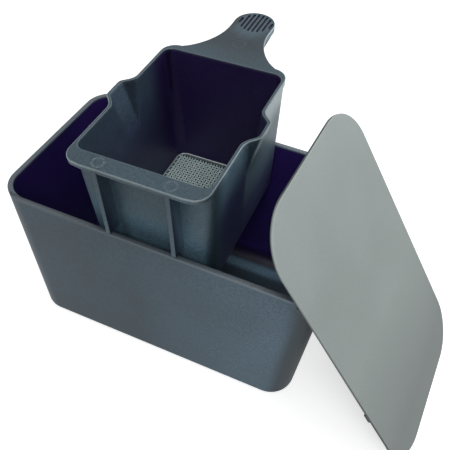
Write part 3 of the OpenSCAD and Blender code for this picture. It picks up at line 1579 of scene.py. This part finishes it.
    def inside_painted_light(self, p: Vector, n: Vector) -> float:
        """Paints light on the left wall's bulge and middle, and paints shade on its back flank and in the
        back corners.

        Args:
            p: The point.
            n: Its normal.

        Returns:
            Its tone mark.
        """
        in_corner = share(abs(n.x * n.y), 0.2, 0.45) * share(p.y, 20.0, 36.0)
        tone = -0.12 * in_corner
        if self.by_left_bulge(p):
            on_bulge = share(self.bulge.offset(p.y, p.z, self.wall), 1.5, 3.5)
            back_flank = share(-n.y, 0.3, 0.6)
            tone += 0.25 * on_bulge * share(n.x, 0.75, 0.95) - 0.5 * back_flank
        if p.x < -25.0:
            mid_height = share(p.z, -14.0, -26.0) * share(p.z, -66.0, -50.0)
            mid_length = share(abs(p.y - 2.0), 26.0, 10.0)
            tone += 0.3 * mid_height * mid_length
        return tone

    def top_painted_light(self, p: Vector) -> float:
        """Paints shade on the top, more on the back lip and handle, and in the pad's grooves, with light on
        the pad's ridges.

        Args:
            p: The point.

        Returns:
            Its tone mark.
        """
        far = self.length / 2
        from_pad = (p.xy - Vector((self.handle.pad_x, self.handle.pad_y))).length
        if from_pad < self.handle.pad_round + 0.2:
            return 0.15 if p.z > -0.3 else -0.6
        if p.y > far - 8.0:
            return -0.18 - 0.38 * share(p.y, far - 2.0, far + 14.0)
        return -0.14

    def front_painted_light(self, p: Vector, n: Vector) -> float:
        """Paints light on the front wall's foot and left corner, less beside the left rib where its shadow is
        painted, and paints shade on its right corner.

        Args:
            p: The point.
            n: Its normal.

        Returns:
            Its tone mark.
        """
        left_corner = share(-n.x, 0.1, 0.7) * share(p.x, -24.0, -27.0)
        by_corners = share(abs(p.x), 17.0, 24.0)
        foot = 1.25 * share(-p.z, 18.0, 45.0) * share(p.x, 34.0, 24.0)
        by_rib = share(p.x, -18.5, -16.5) * share(p.x, -9.5, -13.0)
        foot -= (0.7 * foot + 0.15) * by_rib
        right_corner = share(n.x, 0.1, 0.9) * share(p.x, 24.0, 27.0)
        return (left_corner + 0.25 * by_corners + foot) * (1.0 - right_corner) - 0.4 * right_corner

    def right_painted_light(self, p: Vector, n: Vector) -> float:
        """Paints sheen on the right wall's outside, most high up in front, less on its flank, and paints
        shade on its front corner.

        Args:
            p: The point.
            n: Its normal.

        Returns:
            Its tone mark.
        """
        flank = share(-n.y, 0.25, 0.6) * share(p.y, -20.0, -12.0)
        upper_front = share(p.z, -34.0, -6.0) * share(p.y, 4.0, -14.0)
        turned = share(p.y, -29.0, -36.0)
        base = 0.45 + 0.7 * upper_front + 0.7 * self.painted_sheen_mark(p, n, 0.0) - flank
        return base * (1.0 - turned) - 0.4 * turned

    def painted_sheen_mark(self, p: Vector, n: Vector, old: float) -> float:
        """Paints sheen on the right wall's outside, on its bulge and behind it, most near the top.

        Args:
            p: The point.
            n: Its normal.
            old: Its edge mark so far.

        Returns:
            Its edge mark.
        """
        if p.x < 25.0 or p.z > -self.edge_round or self.is_inside(p, n):
            return old
        behind = share(p.y, -4.6, -2.4) * share(n.x, 0.75, 0.95)
        off_foot, near_top = share(p.z, -56.0, -34.0), share(p.z, -20.0, -5.0)
        return max(old, behind * (0.18 * off_foot + 0.82 * near_top))

    def build(self, finish: MouldedPlastic) -> bpy.types.Object:
        """Makes, dresses and places the basket.

        Args:
            finish: The basket's finish.

        Returns:
            The piece.
        """
        piece = self.shell()
        joined(piece, self.ribs())
        marked(piece, self.place(), Mark.CORE_AND_SHADE, self.core_and_shade_mark)
        marked(piece, self.place(), Mark.PAINTED_LIGHT, self.painted_light_mark)
        marked(piece, self.place(), Mark.EDGE, self.painted_sheen_mark)
        dressed(piece, finish.material())
        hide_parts("media_basket")
        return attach(piece, "basket")


# ---------------------------------------------------------------------------
# Sieve
# ---------------------------------------------------------------------------


@dataclass
class Sieve:
    """Fine woven sieve in its frame, which lies on the basket's floor ledge.

    Attributes:
        basket: The basket that it lies in.
        strand: Radius of a strand.
        wave: How far a strand goes over and under its neighbours.
        pitch_x: Distance between the strands that run from front to back.
        pitch_y: Distance between the strands that run across.
        gap: Gap between the frame and the walls.
        frame_thick: Thickness of the frame.
        bead: Width of the raised bead round the frame.
        bead_rise: Height of the bead above the frame.
        side_frame: Width of the frame at the sides.
        end_frame: Width of the frame at the front and back.
        back_band: Width of the band along the back whose bead carries a painted highlight.
        net_lift: How far the net's middle lies above the frame's.
        steps: Steps of each corner of the frame.
    """

    basket: Basket
    strand: float = 0.43
    wave: float = 0.26
    pitch_x: float = 1.78
    pitch_y: float = 1.71
    gap: float = 0.15
    frame_thick: float = 0.7
    bead: float = 0.8
    bead_rise: float = 0.4
    side_frame: float = 1.5
    end_frame: float = 2.6
    back_band: float = 1.5
    net_lift: float = 0.05
    steps: int = 8

    def tree(self, material: bpy.types.Material) -> bpy.types.NodeTree:
        """Geometry Nodes that lay a row of wavy strands, each a half wave off the one before.

        Args:
            material: Finish of the result.

        Returns:
            The node tree, with named inputs for its sizes.
        """
        made = bpy.data.node_groups.new("sieve_strands", "GeometryNodeTree")
        face = made.interface
        for name in ("Strands", "Crossings"):
            face.new_socket(name, in_out="INPUT", socket_type="NodeSocketInt")
        for name in ("Pitch Between", "Pitch Along", "Radius", "Wave"):
            face.new_socket(name, in_out="INPUT", socket_type="NodeSocketFloat")
        face.new_socket("Geometry", in_out="OUTPUT", socket_type="NodeSocketGeometry")

        def node(kind: str, inputs: dict[Any, Any] | None = None) -> bpy.types.NodeSocket:
            """Adds one node and gives its first output."""
            return new_node(made, kind, inputs=inputs).outputs[0]

        def maths(operation: str, *values: Any) -> bpy.types.NodeSocket:
            """Adds one Math node."""
            settings = {"operation": operation}
            return new_node(made, "ShaderNodeMath", settings, dict(enumerate(values))).outputs[0]

        def spot(x: Any, y: Any, z: Any) -> bpy.types.NodeSocket:
            """Adds one Combine XYZ node."""
            return node("ShaderNodeCombineXYZ", {"X": x, "Y": y, "Z": z})

        into = new_node(made, "NodeGroupInput")
        strands, crossings, between, along, radius, wave = into.outputs[:6]
        reach = maths("MULTIPLY", maths("MULTIPLY", crossings, 0.5), along)
        ends = {"Start": spot(0.0, maths("MULTIPLY", reach, -1.0), 0.0), "End": spot(0.0, reach, 0.0)}
        line = node("GeometryNodeCurvePrimitiveLine", ends)
        count = maths("ADD", maths("MULTIPLY", crossings, 2.0), 1.0)
        fine = node("GeometryNodeResampleCurve", {"Curve": line, "Count": count})
        points = node("GeometryNodePoints", {"Count": strands})
        index = node("GeometryNodeInputIndex")
        middle = maths("MULTIPLY", maths("SUBTRACT", strands, 1.0), 0.5)
        x = maths("MULTIPLY", maths("SUBTRACT", index, middle), between)
        row = node("GeometryNodeSetPosition", {"Geometry": points, "Position": spot(x, 0.0, 0.0)})
        many = node("GeometryNodeInstanceOnPoints", {"Points": row, "Instance": fine})
        real = node("GeometryNodeRealizeInstances", {"Geometry": many})
        number = new_node(made, "GeometryNodeCurveOfPoint").outputs
        turn = maths("MULTIPLY", maths("SUBTRACT", number["Index in Curve"], 1.0), math.pi / 2)
        turn = maths("ADD", turn, maths("MULTIPLY", number["Curve Index"], math.pi))
        lift = spot(0.0, 0.0, maths("MULTIPLY", maths("COSINE", turn), wave))
        woven = node("GeometryNodeSetPosition", {"Geometry": real, "Offset": lift})
        ring = node("GeometryNodeCurvePrimitiveCircle", {"Resolution": 6, "Radius": radius})
        tubes = node("GeometryNodeCurveToMesh", {"Curve": woven, "Profile Curve": ring, "Fill Caps": True})
        whole = node("GeometryNodeRealizeInstances", {"Geometry": tubes})
        coat = node("GeometryNodeSetMaterial", {"Geometry": whole, "Material": material})
        new_node(made, "NodeGroupOutput", inputs={0: coat})
        return made

    def limits(self) -> tuple[float, float, float, float]:
        """Works out the space for the sieve, in the basket's frame.

        Returns:
            Its width, front edge, back edge and underside.
        """
        b = self.basket
        low = -b.depth + b.floor_thick
        width = b.width - 2 * b.wall + 2 * b.side_lean * low - 2 * self.gap
        front = b.front_face - b.front_lean * low + b.wall + self.gap
        back = b.back_face + b.back_lean * low - b.wall - self.gap
        return width, front, back, low

    def strands(
        self, tree: bpy.types.NodeTree, across: bool, counts: tuple[int, int]
    ) -> bpy.types.Object:
        """Makes all strands of one direction, in metres, about the net's middle.

        Args:
            tree: The strands' node tree.
            across: Whether they run across the basket.
            counts: Number of strands from front to back, and of strands across.

        Returns:
            The strands' object.
        """
        made = linked("sieve_strands", bpy.data.meshes.new("sieve_strands"))
        step = made.modifiers.new("strands", "NODES")
        step.node_group = tree
        first, second = (self.pitch_y, self.pitch_x) if across else (self.pitch_x, self.pitch_y)
        values = {
            "Strands": counts[1] if across else counts[0],
            "Crossings": (counts[0] if across else counts[1]) + 1,
            "Pitch Between": first * MM,
            "Pitch Along": second * MM,
            "Radius": self.strand * MM,
            "Wave": (-self.wave if across else self.wave) * MM,
        }
        for item in tree.interface.items_tree:
            if item.in_out == "INPUT":
                step[item.identifier] = values[item.name]
        flattened(made)
        if across:
            swapped = Matrix(((0, 1, 0, 0), (1, 0, 0, 0), (0, 0, -1, 0), (0, 0, 0, 1)))
            made.data.transform(swapped)
        return made

    def rim(self) -> bpy.types.Object:
        """Makes the sieve's frame with its raised bead, in the basket's frame.

        Returns:
            The frame's object.
        """
        width, front, back, low = self.limits()
        m = Mould()
        middle = (front + back) / 2
        top = low + self.frame_thick
        shoulder = top + 0.8 * self.bead_rise
        dulled, net_front, net_back = 0.2, 2.4, 0.6
        rings = []
        for z, inset, edge in (
            (low, 0.0, 0.0),
            (top + 0.25 * self.bead_rise, 0.0, 0.4),
            (shoulder, 0.15 * self.bead, 1.0),
            (top + self.bead_rise, 0.35, 1.0),
            (shoulder, 0.75 * self.bead, 0.8),
            (top, self.bead, 0.1),
        ):
            wide, deep = width - 2 * inset, back - front - 2 * inset
            corners = (self.basket.front_inner - inset, self.steps, self.basket.back_inner - inset)
            outline = rounded_rect(wide, deep, *corners)
            # Painted highlight on the bead, full along the back and dulled elsewhere; the frame is darker
            # where the core mark is.
            lit = [edge if y > deep / 2 - self.back_band else edge * dulled for _, y in outline]
            rings.append(m.ring([(x, y + middle, z) for x, y in outline], lit, 1.0 - 0.6 * edge))
        inner_width, inner_depth = width - 2 * self.side_frame, back - front - 2 * self.end_frame
        inner = rounded_rect(inner_width, inner_depth, net_front, self.steps, net_back)
        for z in (top, low):
            rings.append(m.ring([(x, y + middle, z) for x, y in inner], 0.0, 1.0))
        m.stack(rings + rings[:1])
        return m.piece("sieve_frame")

    def build(self, finish: MouldedPlastic) -> bpy.types.Object:
        """Makes, dresses and places the sieve.

        Args:
            finish: The sieve's finish.

        Returns:
            The piece.
        """
        material = finish.material()
        width, front, back, low = self.limits()
        tree = self.tree(material)
        counts = (
            int((width - 2 * self.side_frame) / self.pitch_x),
            int((back - front - 2 * self.end_frame) / self.pitch_y),
        )
        bm = bmesh.new()
        for across in (False, True):
            net = self.strands(tree, across, counts)
            bm.from_mesh(net.data)
            bpy.data.objects.remove(net)
        lift = (low + self.frame_thick / 2 + self.net_lift) * MM
        bmesh.ops.translate(bm, verts=bm.verts, vec=(0, (front + back) / 2 * MM, lift))
        bmesh.ops.recalc_face_normals(bm, faces=bm.faces)
        rim = self.rim()
        bm.from_mesh(rim.data)
        bpy.data.objects.remove(rim)
        mesh = bpy.data.meshes.new("fine_sieve")
        bm.to_mesh(mesh)
        bm.free()
        add_marks(mesh)
        place = self.basket.place()
        place.translation = place.translation * MM
        mesh.transform(place)
        piece = linked("fine_sieve", mesh)
        dressed(piece, material, sharp_deg=70.0)
        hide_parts("sieve_mesh")
        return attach(piece, "basket")


# ---------------------------------------------------------------------------
# Lid
# ---------------------------------------------------------------------------


@dataclass
class Lid:
    """Thin flat lid with large corners and four locating lugs underneath.

    Heights are 0 at the top face and negative below.

    Attributes:
        length: Size along X, before it is leaned.
        width: Size along Y.
        thick: Thickness of the plate.
        corner: Radius of the corners.
        steps: Steps of each corner.
        lug_height: Height of the lugs.
        lug_x: Distance of the lugs' middles from the lid's middle along X.
        lug_y: Distance of the lugs' middles from the lid's middle along Y.
        lug_half: Half the size of a lug along X.
        lug_half_thick: Half the size of a lug along Y.
        edge_round: Radius of the edges.
        at: Middle of the leaning lid's top face, in the frame's millimetres.
        turn: Its turns about X, Y and Z, in degrees.
    """

    length: float = 170.0
    width: float = 99.0
    thick: float = 1.6
    corner: float = 24.0
    steps: int = 24
    lug_height: float = 3.4
    lug_x: float = 39.0
    lug_y: float = 46.4
    lug_half: float = 3.0
    lug_half_thick: float = 1.0
    edge_round: float = 0.35
    at: Point3 = (106.09, -10.24, 73.05)
    turn: Point3 = (6.14, 55.18, 0.5)

    def place(self) -> Matrix:
        """Where the leaning lid stands, in millimetres."""
        return standing(self.at, self.turn)

    def shell(self) -> bpy.types.Object:
        """Makes the lid's plate, from its underside over its edge to its top.

        Returns:
            The piece.
        """
        m = Mould()
        e, band = self.edge_round, 0.15
        rings: list[list[int]] = []

        def add(z: float, inset: float, edge: float = 0.0, core_and_shade: float = 0.0) -> None:
            """Adds the plate's outline at a height."""
            sizes = (self.length - 2 * inset, self.width - 2 * inset, self.corner - inset)
            rings.append(m.ring(at_height(rounded_rect(*sizes, self.steps), z), edge, core_and_shade))

        # The underside and the edge carry the core mark: painted shade on the edge.
        add(-self.thick, self.thick, core_and_shade=1.0)
        for back, rise in quarter(e, (90, 60, 30, 0)):
            add(-self.thick + e - rise, back, core_and_shade=1.0)
        add(-self.thick + e + band, 0.0, core_and_shade=1.0)
        add(-e - band, 0.0)
        # Painted highlight on the top edge.
        for back, rise in quarter(e, (0, 30, 60, 90)):
            add(-e + rise, back, edge=0.7 if rise > 0 else 0.0)
        for inset in (2 * e, 3.0):
            add(0.0, inset)
        m.solid(rings)
        return m.piece("lid_moulding", self.place())

    def core_and_shade_mark(self, p: Vector, n: Vector, old: float) -> float:
        """Marks the underside, and paints shade on the edge, but less along the lit front edge.

        Args:
            p: The point.
            n: Its normal.
            old: Its core mark so far.

        Returns:
            Its core mark.
        """
        if p.z > -0.05:
            return old
        faces_front = share(-0.9 * n.y - 0.45 * n.x, 0.35, 0.8)
        to_left = share(p.x, 75.0, -40.0)
        off_foot = share(p.z, -self.thick + 0.2, -0.6)
        return 1.0 - faces_front * to_left * off_foot

    def painted_light_mark(self, p: Vector, n: Vector, old: float) -> float:
        """Paints light on the front edge, most on the left.

        Args:
            p: The point.
            n: Its normal.
            old: Its tone mark so far.

        Returns:
            Its tone mark.
        """
        if p.z > -0.05 or p.z < -self.thick + 0.1:
            return old
        return 0.3 * share(-n.y, 0.5, 0.9) * share(p.x, 60.0, -40.0)

    def lugs(self) -> list[bpy.types.Object]:
        """Makes the locating lugs, which are sunk a little into the plate.

        Returns:
            Blocks to be joined to the plate.
        """
        half, half_thick = self.lug_half, self.lug_half_thick
        into_plate, edge_round = 0.5, 0.4
        made = []
        for x in (-self.lug_x, self.lug_x):
            for y in (-self.lug_y, self.lug_y):
                low = (x - half, y - half_thick, -self.thick - self.lug_height)
                high = (x + half, y + half_thick, -self.thick + into_plate)
                made.append(block("lug", low, high, edge_round, self.place()))
        return made

    def build(self, finish: MouldedPlastic) -> bpy.types.Object:
        """Makes, dresses and places the lid.

        Args:
            finish: The lid's finish.

        Returns:
            The piece.
        """
        piece = self.shell()
        joined(piece, self.lugs())
        marked(piece, self.place(), Mark.CORE_AND_SHADE, self.core_and_shade_mark)
        marked(piece, self.place(), Mark.PAINTED_LIGHT, self.painted_light_mark)
        dressed(piece, finish.material())
        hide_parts("lid")
        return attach(piece, "lid")


# ---------------------------------------------------------------------------
# Studio
# ---------------------------------------------------------------------------


@dataclass(frozen=True)
class SoftLight:
    """Square soft light.

    Attributes:
        name: Name of the lamp.
        spot: Its place in metres.
        aim: The point it faces, in metres.
        size: Side of the square in metres.
        watts: Its power.
    """

    name: str
    spot: Point3
    aim: Point3
    size: float
    watts: float

    def hang(self) -> None:
        """Puts the lamp in the scene."""
        data = bpy.data.lights.new(self.name, "AREA")
        data.shape = "SQUARE"
        data.size = self.size
        data.energy = self.watts
        facing = (Vector(self.aim) - Vector(self.spot)).to_track_quat("-Z", "Y").to_matrix().to_4x4()
        linked(self.name, data).matrix_world = Matrix.Translation(self.spot) @ facing


@dataclass(frozen=True)
class Studio:
    """White table, soft lights and the camera.

    Attributes:
        focal_px: Focal length in pixels of the frame.
        frame_px: Side of the square frame in pixels.
        sensor: Side of the camera's sensor in millimetres.
        clip: Nearest and farthest distance that the camera sees, in metres.
        eye: The camera's place in millimetres.
        right: Direction to the right in the frame.
        down: Direction down in the frame.
        ahead: Direction that the camera looks in.
        surround: Strength of the pale surround's light.
        table_half: Half the table's side in metres.
        lights: The lamps.
    """

    focal_px: float = 560.98
    frame_px: float = 450.0
    sensor: float = 36.0
    clip: Point2 = (0.01, 20.0)
    eye: Point3 = (87.876, -194.936, 296.168)
    right: Point3 = (0.9200104, 0.3875745, 0.0580250)
    down: Point3 = (0.3224284, -0.6644292, -0.6742208)
    ahead: Point3 = (-0.2227573, 0.6389990, -0.7362468)
    surround: float = 0.22
    table_half: float = 4.0
    lights: tuple[SoftLight, ...] = (
        SoftLight("overhead", spot=(0.02, 0.02, 0.85), aim=(0.02, 0.0, 0.1), size=0.5, watts=2.0),
        SoftLight("side", spot=(0.46, 0.36, 0.4), aim=(0.02, 0.0, 0.1), size=0.3, watts=1.0),
        SoftLight("front", spot=(0.36, -0.95, 1.35), aim=(0.0, 0.0, 0.08), size=0.8, watts=9.5),
    )

    def floor(self) -> None:
        """Lays the table."""
        far = self.table_half
        mesh = bpy.data.meshes.new("table")
        mesh.from_pydata([(-far, -far, 0), (far, -far, 0), (far, far, 0), (-far, far, 0)], [], [(0, 1, 2, 3)])
        table = linked("table", mesh)
        mesh.materials.append(StudioFloor().material())

    def sky(self) -> None:
        """Sets a plain pale surround that reads white where it is seen or mirrored."""
        world = bpy.data.worlds.new("surround")
        bpy.context.scene.world = world
        world.use_nodes = True
        tree = world.node_tree
        tree.nodes.clear()
        dim, bright = (
            new_node(tree, "ShaderNodeBackground", inputs={"Color": WHITE, "Strength": strength}).outputs[0]
            for strength in (self.surround, 1.0)
        )
        path = new_node(tree, "ShaderNodeLightPath").outputs
        rays = {0: path["Is Camera Ray"], 1: path["Is Glossy Ray"]}
        seen = new_node(tree, "ShaderNodeMath", {"operation": "MAXIMUM"}, rays)
        mix = new_node(tree, "ShaderNodeMixShader", inputs={0: seen.outputs[0], 1: dim, 2: bright})
        new_node(tree, "ShaderNodeOutputWorld", inputs={"Surface": mix.outputs[0]})

    def camera(self) -> None:
        """Sets the camera."""
        data = bpy.data.cameras.new("camera")
        data.sensor_width = self.sensor
        data.lens = self.focal_px / self.frame_px * self.sensor
        data.clip_start, data.clip_end = self.clip
        camera = linked("camera", data)
        axes = [Vector(self.right), -Vector(self.down), -Vector(self.ahead)]
        turn = Matrix([[axis[i] for axis in axes] for i in range(3)]).to_4x4()
        camera.matrix_world = Matrix.Translation(Vector(self.eye) * MM) @ turn
        bpy.context.scene.camera = camera

    def build(self) -> None:
        """Sets up the whole studio."""
        self.floor()
        self.sky()
        for light in self.lights:
            light.hang()
        self.camera()
        bpy.context.scene.view_settings.view_transform = "Standard"


# ---------------------------------------------------------------------------
# Finishes and order of work
# ---------------------------------------------------------------------------

# Each finish's core colour is painted shade on insides and shaded places, and its edge colour is wear with a
# painted highlight.
TUB_FINISH = MouldedPlastic(
    "slate_tub",
    face=(0.0365, 0.062, 0.083),
    core_and_shade=(0.022, 0.012, 0.092),
    edge=(0.11, 0.135, 0.155),
    mottle=0.22,
    grain_tone=0.5,
    # Painted light: the tub grows lighter toward the right.
    painted_light_fades=(Fade(way=(1.0, 0.0, 0.0), start=-0.01, end=0.06, gain=1.85),),
)
BASKET_FINISH = MouldedPlastic(
    "slate_basket",
    face=(0.038, 0.067, 0.088),
    core_and_shade=(0.018, 0.011, 0.055),
    edge=(0.22, 0.28, 0.3),
    mottle=0.22,
    grain_tone=0.5,
)
SIEVE_FINISH = MouldedPlastic(
    "pale_sieve",
    face=(0.37, 0.46, 0.46),
    core_and_shade=(0.03, 0.04, 0.055),
    edge=(0.6, 0.68, 0.67),
    grain_tone=0.15,
)
LID_FINISH = MouldedPlastic(
    "grey_green_lid",
    face=(0.296, 0.338, 0.329),
    core_and_shade=(0.03, 0.042, 0.046),
    edge=(0.34, 0.38, 0.37),
    roughness=0.55,
    mottle=0.08,
    grain_tone=0.07,
    # Painted light: the lid is lighter toward its top and darker toward its lower right end.
    painted_light_fades=(
        Fade(way=(0.571, 0.005, -0.821), start=0.012, end=0.07, gain=0.68),
        Fade(way=(-0.571, -0.005, 0.821), start=0.035, end=0.09, gain=1.16),
    ),
)


class Part(Protocol):
    """A sub-assembly that can build its own piece."""

    def build(self, finish: MouldedPlastic) -> bpy.types.Object:
        """Makes, dresses and places the piece."""


def main() -> None:
    """Builds the pieces in order and the studio round them."""
    logging.basicConfig(level=logging.INFO, format="%(name)s: %(message)s")
    basket = Basket()
    parts: list[tuple[Part, MouldedPlastic]] = [
        (Tub(), TUB_FINISH),
        (basket, BASKET_FINISH),
        (Sieve(basket), SIEVE_FINISH),
        (Lid(), LID_FINISH),
    ]
    for part, finish in parts:
        piece = part.build(finish)
        log.info("%s: %d faces", piece.name, len(piece.data.polygons))
    Studio().build()


if __name__ == "__main__":
    main()
